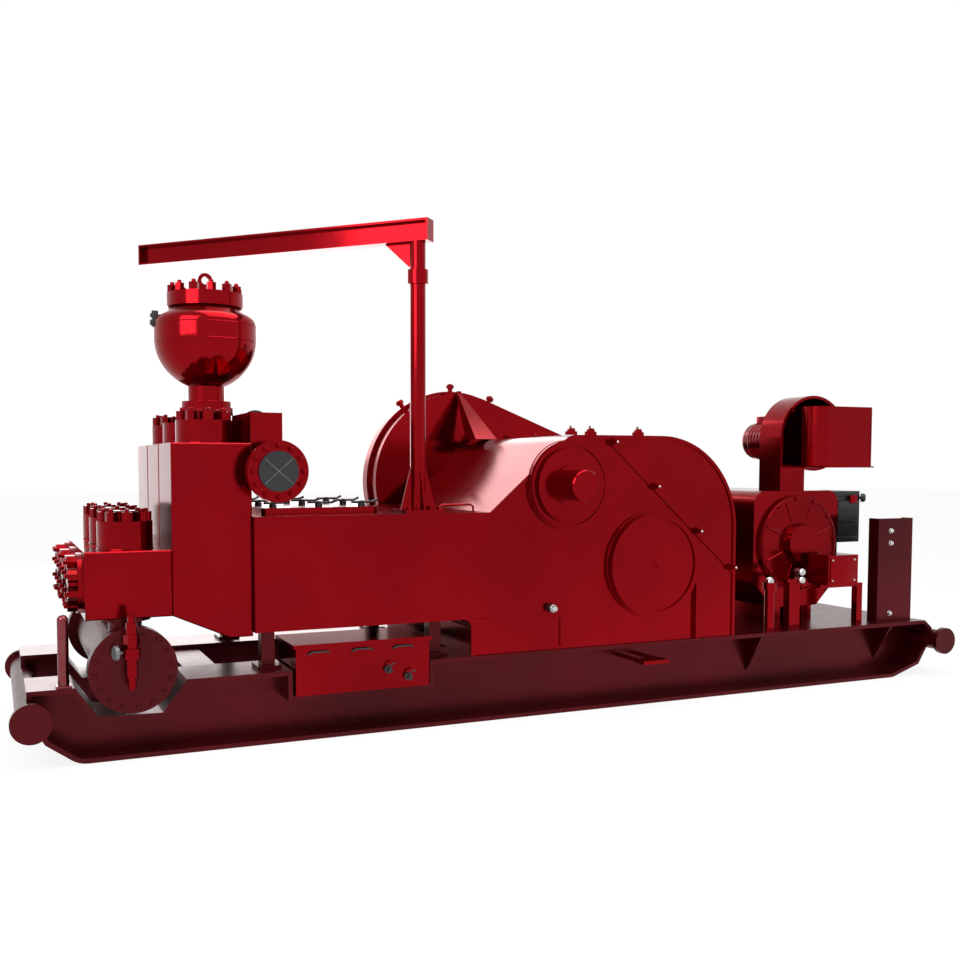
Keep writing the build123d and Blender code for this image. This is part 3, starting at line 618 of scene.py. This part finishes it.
class PUMP_OT_studs(Operator):
    """Stud ends through the nuts of the valve covers, heads and dampener"""

    bl_idname = "pump.studs"
    bl_label = "Stud Ends"

    def execute(self, context):
        mesh = bmesh.new()
        rings = []
        low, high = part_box("suction_pots")
        for y in MODULE_YS:
            rings.append(((node_centre("suction_pots").x, y, high.z - 0.006), UP, 0.130, 8, 0.0))
        low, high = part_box("discharge_pots")
        for y in (MODULE_YS[0], MODULE_YS[2]):
            rings.append(((node_centre("discharge_pots").x, y, high.z - 0.006), UP, 0.140, 8, 0.0))
        low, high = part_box("cylinder_heads")
        for y in MODULE_YS:
            at = (low.x, y, node_centre("cylinder_heads").z)
            rings.append((at, FRONT, 0.148, 8, math.radians(22.5)))
        low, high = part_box("dampener_cover")
        centre = node_centre("dampener_cover")
        rings.append(((centre.x, centre.y, high.z), UP, 0.225, 12, 0.0))
        shape = [(0.015, -0.004), (0.015, 0.016), (0.011, 0.021), (0, 0.021)]
        for centre, axis, radius, count, start in rings:
            for at in ring_points(centre, axis, radius, count, start):
                turned(mesh, at, axis, shape, 14)
        put("stud_ends", mesh, cast_enamel(), PUMP)
        return {"FINISHED"}


class PUMP_OT_outlet(Operator):
    """Nuts on the discharge flange and the cross on its blank"""

    bl_idname = "pump.outlet"
    bl_label = "Discharge Outlet"

    def execute(self, context):
        low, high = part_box("outlet_blank")
        centre = (low + high) / 2
        mesh = bmesh.new()
        for at in ring_points((centre.x, high.y, centre.z), NEAR, 0.163, 12):
            stud_nut(mesh, at, NEAR, 0.036, 0.3)
        put("outlet_flange_nuts", mesh, machine_enamel(), PUMP)
        mesh = bmesh.new()
        for angle in (0.72, 2.42):
            reach = (high.x - low.x) / 2 * 0.94
            tip = Vector((math.cos(angle), 0, math.sin(angle))) * reach
            at = Vector((centre.x, low.y - 0.001, centre.z))
            rod(mesh, (at - tip, at, at + tip), 0.0022, 8)
        put("outlet_blank_cross", mesh, worn_steel(), PUMP)
        return {"FINISHED"}


class PUMP_OT_dampener(Operator):
    """Weld rings and the charging lug of the pulsation dampener"""

    bl_idname = "pump.dampener"
    bl_label = "Dampener Trim"

    def execute(self, context):
        low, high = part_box("dampener_body")
        centre = node_centre("dampener_body")
        body_r = (high.x - low.x) / 2
        mesh = bmesh.new()
        band_z = high.z - 0.215
        ring_bead(mesh, (centre.x, centre.y, band_z - 0.02), UP, body_r - 0.001, 0.0045)
        ring_bead(mesh, (centre.x, centre.y, high.z - 0.125), UP, body_r - 0.001, 0.004)
        ring_bead(mesh, (centre.x, centre.y, low.z + 0.045), UP, 0.128, 0.006)
        put("dampener_weld_rings", mesh, cast_enamel(), PUMP)
        mesh = bmesh.new()
        lug_x = centre.x - body_r
        foot = (lug_x + 0.03, centre.y + 0.022, band_z + 0.18)
        block(mesh, (lug_x - 0.012, centre.y - 0.022, band_z + 0.07), foot)
        for lift, radius, height in ((0.10, 0.018, 0.012), (0.15, 0.014, 0.01)):
            plug = [(radius, 0), (radius, height), (0, height)]
            turned(mesh, (lug_x - 0.012, centre.y, band_z + lift), FRONT, plug, 14)
        put("dampener_charge_lug", mesh, black_enamel(), PUMP)
        return {"FINISHED"}


class PUMP_OT_frame_fittings(Operator):
    """Lever handles on the crosshead covers, the grab rail, the drain plug and the split line"""

    bl_idname = "pump.frame_fittings"
    bl_label = "Frame Fittings"

    def execute(self, context):
        grip = hardware().handle
        low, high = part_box("crosshead_covers")
        mesh = bmesh.new()
        for y in (-0.42, 0.0, 0.42):
            for x, lean in ((low.x + 0.09, 0.5), ((low.x + high.x) / 2, -0.35), (high.x - 0.1, 0.2)):
                foot = (x, y - 0.11, high.z)
                turned(mesh, foot, UP, LEVER_HUB, 16)
                reach = Vector((math.cos(lean), math.sin(lean), 0)) * 0.13
                hub = Vector((x, y - 0.11, high.z + 0.03))
                tip = hub + reach + Vector((0, 0, 0.016))
                rod(mesh, (hub - reach * 0.6, hub, hub + reach * 0.7, tip), grip / 2)
        put("cover_lever_handles", mesh, black_enamel(), PUMP)
        mesh = bmesh.new()
        rail_x, rail_y, top = -0.93, -0.66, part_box("crosshead_frame")[1].z
        rise = (
            (rail_x, rail_y, top), (rail_x, rail_y, top + 0.035), (rail_x + 0.02, rail_y, top + 0.05),
            (rail_x + 0.24, rail_y, top + 0.05), (rail_x + 0.26, rail_y, top + 0.035),
            (rail_x + 0.26, rail_y, top),
        )
        rod(mesh, rise, 0.008)
        put("frame_grab_rail", mesh, machine_enamel(), PUMP)
        side = -0.838
        mesh = bmesh.new()
        drain = Vector((-0.135, side, 0.776))
        # The drain hub is a closed stub whose black is painted shade, standing for the dark bore of the
        # drain; the split-line gasket rods below are dark joints.
        turned(mesh, drain, NEAR, [(0.032, -0.004), (0.032, 0.05), (0.028, 0.055), (0, 0.055)], 24)
        for reach in (1, -1):
            start = Vector((0.345, reach * PLATE_Y, 2.012))
            end = Vector((1.500, reach * PLATE_Y, 0.9915))
            rod(mesh, (start, (start + end) / 2, end), 0.005, 8)
        put("split_line_gasket_and_shade_painted_drain_hub", mesh, black_enamel(), PUMP)
        mesh = bmesh.new()
        hex_bolt(mesh, drain + Vector((0, -0.053, 0)), NEAR, 0.046, 0.25)
        for x in CLAMP_XS:
            z = SPLIT_TOP[1] - (x - SPLIT_TOP[0]) * SPLIT_SLOPE
            for reach in (-1, 1):
                turned(mesh, (x, reach * 0.902, z), (0, reach, 0), CLAMP_STUD, 12)
        put("drain_plug_and_clamp_studs", mesh, bright_steel(), PUMP)
        mesh = bmesh.new()
        for lug_x in (0.060, 0.225, 0.640):
            rod(mesh, ring_arc((lug_x, -0.790, 2.078), 0.022, 10), 0.006)
        put("lug_shackles", mesh, bright_steel(), PUMP)
        return {"FINISHED"}


class PUMP_OT_welds(Operator):
    """Weld beads where plates and castings meet"""

    bl_idname = "pump.welds"
    bl_label = "Weld Beads"

    def execute(self, context):
        bead = hardware().weld
        mesh = bmesh.new()
        for name, radius, ys in (
            ("suction_pots", 0.172, MODULE_YS),
            ("discharge_pots", 0.182, MODULE_YS[::2]),
        ):
            low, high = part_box(name)
            for y in ys:
                ring_bead(mesh, (node_centre(name).x, y, low.z + 0.002), UP, radius, bead * 0.6)
        for name, side in (("near_crank_cover", -1), ("far_crank_cover", 1), ("near_pinion_cover", -1)):
            low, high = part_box(name)
            radius = (high.x - low.x) / 2
            at = (node_centre(name).x, side * PLATE_Y, node_centre(name).z)
            ring_bead(mesh, at, (0, 1, 0), radius, bead * 0.5)
        rod(mesh, ((-0.05, -0.8505, 0.49), (-0.05, -0.8505, 0.6), (-0.05, -0.8505, 0.70)), 0.004, 8)
        low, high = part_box("motor_end_shield")
        shield = node_centre("motor_end_shield")
        for turn in range(8):
            angle = math.radians(22.5 + 45 * turn)
            way = Vector((math.cos(angle), 0, math.sin(angle)))
            face = Vector((shield.x, low.y + 0.070, shield.z))
            rod(mesh, (face + way * 0.19, face + way * 0.28, face + way * 0.37), 0.010, 10)
        ring_bead(mesh, (shield.x, low.y + 0.070, shield.z), (0, 1, 0), 0.396, 0.007)
        put("weld_beads_and_ribs", mesh, cast_enamel(), PUMP)
        mesh = bmesh.new()
        for at in ring_points((shield.x, low.y + 0.070, shield.z), NEAR, 0.380, 12, 0.1):
            hex_bolt(mesh, at, NEAR, 0.03)
        put("motor_shield_bolts", mesh, machine_enamel(), PUMP)
        return {"FINISHED"}


class PUMP_OT_chain_case(Operator):
    """Bolts round the joint flange of the chain case"""

    bl_idname = "pump.chain_case"
    bl_label = "Chain Case Bolts"

    def execute(self, context):
        low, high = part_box("chain_case")
        edge = 0.016
        large = -low.x - edge
        small = high.x - MOTOR_CENTRE.x - edge
        apart = MOTOR_CENTRE - PINION_CENTRE
        heading = math.atan2(apart.z, apart.x)
        lean = math.acos((large - small) / apart.length)
        joint_y = (low.y + high.y) / 2
        mesh = bmesh.new()
        spots = []
        for step in range(16):
            angle = heading + lean + (2 * math.pi - 2 * lean) * step / 15
            spots.append(PINION_CENTRE + large * Vector((math.cos(angle), 0, math.sin(angle))))
        for step in range(7):
            angle = heading - lean + 2 * lean * step / 6
            spots.append(MOTOR_CENTRE + small * Vector((math.cos(angle), 0, math.sin(angle))))
        for side in (-1, 1):
            way = Vector((math.cos(heading + side * lean), 0, math.sin(heading + side * lean)))
            start, end = PINION_CENTRE + large * way, MOTOR_CENTRE + small * way
            spots.extend(start.lerp(end, step / 10) for step in range(1, 10))
        for spot in spots:
            for side in (-1, 1):
                at = (spot.x, joint_y + side * 0.022, spot.z)
                hex_bolt(mesh, at, (0, side, 0), 0.026)
        put("chain_case_bolts", mesh, machine_enamel(), PUMP)
        return {"FINISHED"}


class PUMP_OT_tank(Operator):
    """Grab handles and drain taps on the wash tank, and the gauge by the relief valve"""

    bl_idname = "pump.tank"
    bl_label = "Tank And Gauge"

    def execute(self, context):
        low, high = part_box("wash_tank")
        front = low.y
        mesh = bmesh.new()
        for x in (-1.89, -1.59, -1.30):
            z = high.z - 0.028
            arc = (
                (x - 0.075, front, z - 0.012), (x - 0.07, front - 0.014, z - 0.012),
                (x - 0.05, front - 0.018, z), (x + 0.05, front - 0.018, z),
                (x + 0.07, front - 0.014, z - 0.012), (x + 0.075, front, z - 0.012),
            )
            rod(mesh, arc, 0.006)
        for x, z in ((-1.41, 0.434), (-1.265, 0.374)):
            tap = (x, front, z)
            turned(mesh, tap, NEAR, TAP_BODY, 18)
            grip_y = front - 0.052
            lever = ((x, front - 0.05, z), (x, grip_y, z + 0.035), (x + 0.04, grip_y, z + 0.046))
            rod(mesh, lever, 0.006)
        put("tank_handles_and_taps", mesh, black_enamel(), PUMP)
        mesh = bmesh.new()
        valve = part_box("relief_valve")
        gauge = Vector((valve[0].x - 0.03, (valve[0].y + valve[1].y) / 2, 0.69))
        face = [(0.045, 0), (0.045, 0.018), (0.040, 0.022), (0.040, 0.017), (0, 0.017)]
        turned(mesh, gauge, (-1, -0.25, 0), face, 28)
        rod(mesh, (gauge, gauge + Vector((0.03, 0.0, 0.0)), gauge + Vector((0.05, 0.0, 0.0))), 0.009)
        put("relief_gauge", mesh, worn_steel(), PUMP)
        return {"FINISHED"}


class PUMP_OT_drive_fittings(Operator):
    """Slats, flap, knobs, breathers and small fittings at the drive end"""

    bl_idname = "pump.drive_fittings"
    bl_label = "Drive Fittings"

    def execute(self, context):
        low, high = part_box("motor_louvre_box")
        mesh = bmesh.new()
        for step in range(11):
            z = low.z + 0.045 + step * 0.036
            slat_y = low.y + 0.02
            slat = ((low.x + 0.02, slat_y, z), (low.x + 0.15, low.y + 0.017, z), (high.x - 0.03, slat_y, z))
            rod(mesh, slat, 0.005, 8)
            side_x = high.x + 0.001
            rod(mesh, ((side_x, low.y + 0.06, z), (side_x, -0.18, z), (side_x, high.y - 0.03, z)), 0.006, 8)
        knob = (high.x + 0.012, low.y + 0.03, high.z - 0.06)
        turned(mesh, knob, (0.8, -0.6, 0), LOUVRE_KNOB, 20)
        put("louvre_slats_and_knob", mesh, black_enamel(), PUMP)
        mesh = bmesh.new()
        flap_high = (low.x + 0.24, low.y + 0.012, high.z - 0.035)
        block(mesh, (low.x + 0.16, low.y - 0.012, high.z - 0.105), flap_high)
        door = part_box("junction_box")
        door_high = (door[0].x + 0.295, door[0].y + 0.002, 1.043)
        block(mesh, (door[0].x + 0.02, door[0].y - 0.008, 0.833), door_high)
        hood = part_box("blower_hood")
        sill_high = (hood[1].x + 0.03, hood[1].y, hood[0].z)
        block(mesh, (hood[0].x + 0.08, hood[0].y - 0.010, hood[0].z - 0.012), sill_high)
        edge_x = hood[1].x - 0.004
        edge_bar = tuple((edge_x, hood[0].y, z) for z in (hood[0].z, 2.05, hood[1].z))
        rod(mesh, edge_bar, 0.006, 8)
        fan = node_centre("blower_motor")
        fan_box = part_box("blower_motor")
        cap_high = (fan.x + 0.05, fan.y + 0.08, fan_box[1].z + 0.055)
        block(mesh, (fan.x - 0.05, fan.y - 0.05, fan_box[1].z - 0.02), cap_high)
        for back in (0.06, 0.10, 0.14, 0.18, 0.22):
            ring_bead(mesh, (fan.x, fan_box[0].y + back, fan.z), (0, 1, 0), 0.1655, 0.006)
        for angle in (125, 90, 62):
            way = Vector((math.cos(math.radians(angle)), 0, math.sin(math.radians(angle))))
            at = Vector((PINION_CENTRE.x, CHAIN_JOINT_Y, PINION_CENTRE.z)) + way * 0.805
            turned(mesh, at, way, BREATHER, 18)
        put("drive_trim", mesh, machine_enamel(), PUMP)
        mesh = bmesh.new()
        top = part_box("lube_filter")[1]
        filter_at = node_centre("lube_filter")
        dome = [(0.034, -0.002), (0.034, 0.016), (0.026, 0.032), (0.012, 0.042), (0, 0.042)]
        turned(mesh, (filter_at.x, filter_at.y, top.z), UP, dome, 22)
        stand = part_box("valve_stand")
        for lift in (0.0, 0.066):
            at = (stand[1].x - 0.05, stand[0].y, stand[1].z - 0.01 + lift)
            turned(mesh, at, NEAR, [(0.030, -0.05), (0.030, 0.018), (0.024, 0.026), (0, 0.026)], 22)
        for dx in (0.04, 0.275):
            for z in (0.853, 1.023):
                hex_bolt(mesh, (door[0].x + dx, door[0].y - 0.007, z), NEAR, 0.014)
        put("valve_knobs_and_gauges", mesh, bright_steel(), PUMP)
        return {"FINISHED"}


class PUMP_OT_stage(Operator):
    """Floor, world, lamps and camera"""

    bl_idname = "pump.stage"
    bl_label = "Studio"

    def execute(self, context):
        scene = context.scene
        scene.view_settings.view_transform = "Standard"
        self.floor()
        self.world(scene)
        self.lamp("Key Lamp", (-7.5, -4.5, 5.5), (-2.0, 0.0, 1.2), 5.0, studio().key_power)
        self.lamp("Top Lamp", (0.5, -1.5, 8.0), (0.3, 0.0, 1.0), 7.0, studio().top_power)
        self.lamp("Rear Lamp", (0.6, 11.0, 4.6), (0.0, 0.0, 1.6), 9.0, studio().rear_power)
        data = bpy.data.cameras.new("Studio Camera")
        data.lens = studio().lens
        data.sensor_width = 36.0
        data.shift_x = 0.0410
        data.shift_y = 0.0459
        data.clip_end = 200.0
        camera = bpy.data.objects.new("Studio Camera", data)
        turn = Matrix.Rotation(math.radians(-23.304), 4, "Z") @ Matrix.Rotation(math.radians(86.757), 4, "X")
        camera.matrix_world = Matrix.Translation((-3.838, -7.427, 1.810)) @ turn
        scene.collection.objects.link(camera)
        scene.camera = camera
        return {"FINISHED"}

    def floor(self):
        mesh = bmesh.new()
        bmesh.ops.create_grid(mesh, x_segments=2, y_segments=2, size=60.0)
        data = bpy.data.meshes.new("studio_floor")
        mesh.to_mesh(data)
        mesh.free()
        floor = bpy.data.objects.new("studio_floor", data)
        floor.location = (0, 0, -0.002)
        bpy.context.scene.collection.objects.link(floor)
        material = bpy.data.materials.new("Studio Floor")
        material.use_nodes = True
        tree = material.node_tree
        tree.nodes.clear()
        out = tree.nodes.new("ShaderNodeOutputMaterial")
        matte = tree.nodes.new("ShaderNodeBsdfDiffuse")
        matte.inputs["Color"].default_value = (0.86, 0.86, 0.86, 1)
        glow = tree.nodes.new("ShaderNodeEmission")
        glow.inputs["Color"].default_value = (1, 1, 1, 1)
        glow.inputs["Strength"].default_value = 1.0
        share = tree.nodes.new("ShaderNodeMath")
        share.operation = "MULTIPLY"
        share.inputs[1].default_value = 0.86
        mix = tree.nodes.new("ShaderNodeMixShader")
        tree.links.new(self.seen(tree), share.inputs[0])
        tree.links.new(share.outputs[0], mix.inputs["Fac"])
        tree.links.new(matte.outputs[0], mix.inputs[1])
        tree.links.new(glow.outputs[0], mix.inputs[2])
        tree.links.new(mix.outputs[0], out.inputs["Surface"])
        data.materials.append(material)

    def seen(self, tree):
        """One where a camera, glossy or transmission ray arrives."""
        path = tree.nodes.new("ShaderNodeLightPath")
        either = tree.nodes.new("ShaderNodeMath")
        either.operation = "MAXIMUM"
        any_of = tree.nodes.new("ShaderNodeMath")
        any_of.operation = "MAXIMUM"
        tree.links.new(path.outputs["Is Camera Ray"], either.inputs[0])
        tree.links.new(path.outputs["Is Glossy Ray"], either.inputs[1])
        tree.links.new(either.outputs[0], any_of.inputs[0])
        tree.links.new(path.outputs["Is Transmission Ray"], any_of.inputs[1])
        return any_of.outputs[0]

    def world(self, scene):
        world = bpy.data.worlds.new("Studio World")
        scene.world = world
        world.use_nodes = True
        tree = world.node_tree
        tree.nodes.clear()
        link = tree.links.new
        out = tree.nodes.new("ShaderNodeOutputWorld")
        place = tree.nodes.new("ShaderNodeTexCoord")
        split = tree.nodes.new("ShaderNodeSeparateXYZ")
        link(place.outputs["Generated"], split.inputs[0])
        front = tree.nodes.new("ShaderNodeMapRange")
        front.interpolation_type = "SMOOTHSTEP"
        front.inputs["From Min"].default_value = -0.75
        front.inputs["From Max"].default_value = 0.05
        front.inputs["To Min"].default_value = 0.12
        front.inputs["To Max"].default_value = 0.95
        link(split.outputs["Y"], front.inputs["Value"])
        high = tree.nodes.new("ShaderNodeMapRange")
        high.interpolation_type = "SMOOTHSTEP"
        high.inputs["From Min"].default_value = 0.15
        high.inputs["From Max"].default_value = 0.75
        link(split.outputs["Z"], high.inputs["Value"])
        level = tree.nodes.new("ShaderNodeMath")
        level.operation = "MAXIMUM"
        link(front.outputs["Result"], level.inputs[0])
        link(high.outputs["Result"], level.inputs[1])
        light = tree.nodes.new("ShaderNodeBackground")
        light.inputs["Color"].default_value = (1.0, 0.98, 0.98, 1)
        link(level.outputs[0], light.inputs["Strength"])
        plain = tree.nodes.new("ShaderNodeBackground")
        plain.inputs["Color"].default_value = (1, 1, 1, 1)
        plain.inputs["Strength"].default_value = 1.0
        mix = tree.nodes.new("ShaderNodeMixShader")
        link(self.seen(tree), mix.inputs["Fac"])
        link(light.outputs[0], mix.inputs[1])
        link(plain.outputs[0], mix.inputs[2])
        link(mix.outputs[0], out.inputs["Surface"])

    def lamp(self, name, at, target, size, power):
        data = bpy.data.lights.new(name, "AREA")
        data.shape = "SQUARE"
        data.size = size
        data.energy = power
        lamp = bpy.data.objects.new(name, data)
        lamp.visible_camera = False
        way = Vector(target) - Vector(at)
        lamp.matrix_world = Matrix.Translation(at) @ way.to_track_quat("-Z", "Y").to_matrix().to_4x4()
        bpy.context.scene.collection.objects.link(lamp)


# ---------------------------------------------------------------- panel


class PUMP_PT_panel(Panel):
    """Lists the pump's dressing steps"""

    bl_idname = "PUMP_PT_panel"
    bl_label = "Mud Pump"
    bl_space_type = "VIEW_3D"
    bl_region_type = "UI"
    bl_category = "Mud Pump"

    def draw(self, context):
        layout = self.layout
        scene = context.scene
        for group in (scene.pump_paint, scene.pump_hardware, scene.pump_studio):
            box = layout.box()
            for key in group.__annotations__:
                box.prop(group, key)
        for step in STEPS:
            layout.operator(step.bl_idname)


STEPS = (
    PUMP_OT_paint,
    PUMP_OT_flange_bolts,
    PUMP_OT_studs,
    PUMP_OT_outlet,
    PUMP_OT_dampener,
    PUMP_OT_frame_fittings,
    PUMP_OT_welds,
    PUMP_OT_chain_case,
    PUMP_OT_tank,
    PUMP_OT_drive_fittings,
    PUMP_OT_stage,
)
CLASSES = (PumpPaintSettings, PumpHardwareSettings, PumpStudioSettings, *STEPS, PUMP_PT_panel)


def register():
    for cls in CLASSES:
        bpy.utils.register_class(cls)
    bpy.types.Scene.pump_paint = PointerProperty(type=PumpPaintSettings)
    bpy.types.Scene.pump_hardware = PointerProperty(type=PumpHardwareSettings)
    bpy.types.Scene.pump_studio = PointerProperty(type=PumpStudioSettings)


def unregister():
    del bpy.types.Scene.pump_studio
    del bpy.types.Scene.pump_hardware
    del bpy.types.Scene.pump_paint
    for cls in reversed(CLASSES):
        bpy.utils.unregister_class(cls)


def main():
    register()
    for step in STEPS:
        area, action = step.bl_idname.split(".")
        getattr(getattr(bpy.ops, area), action)()


if __name__ == "__main__":
    main()
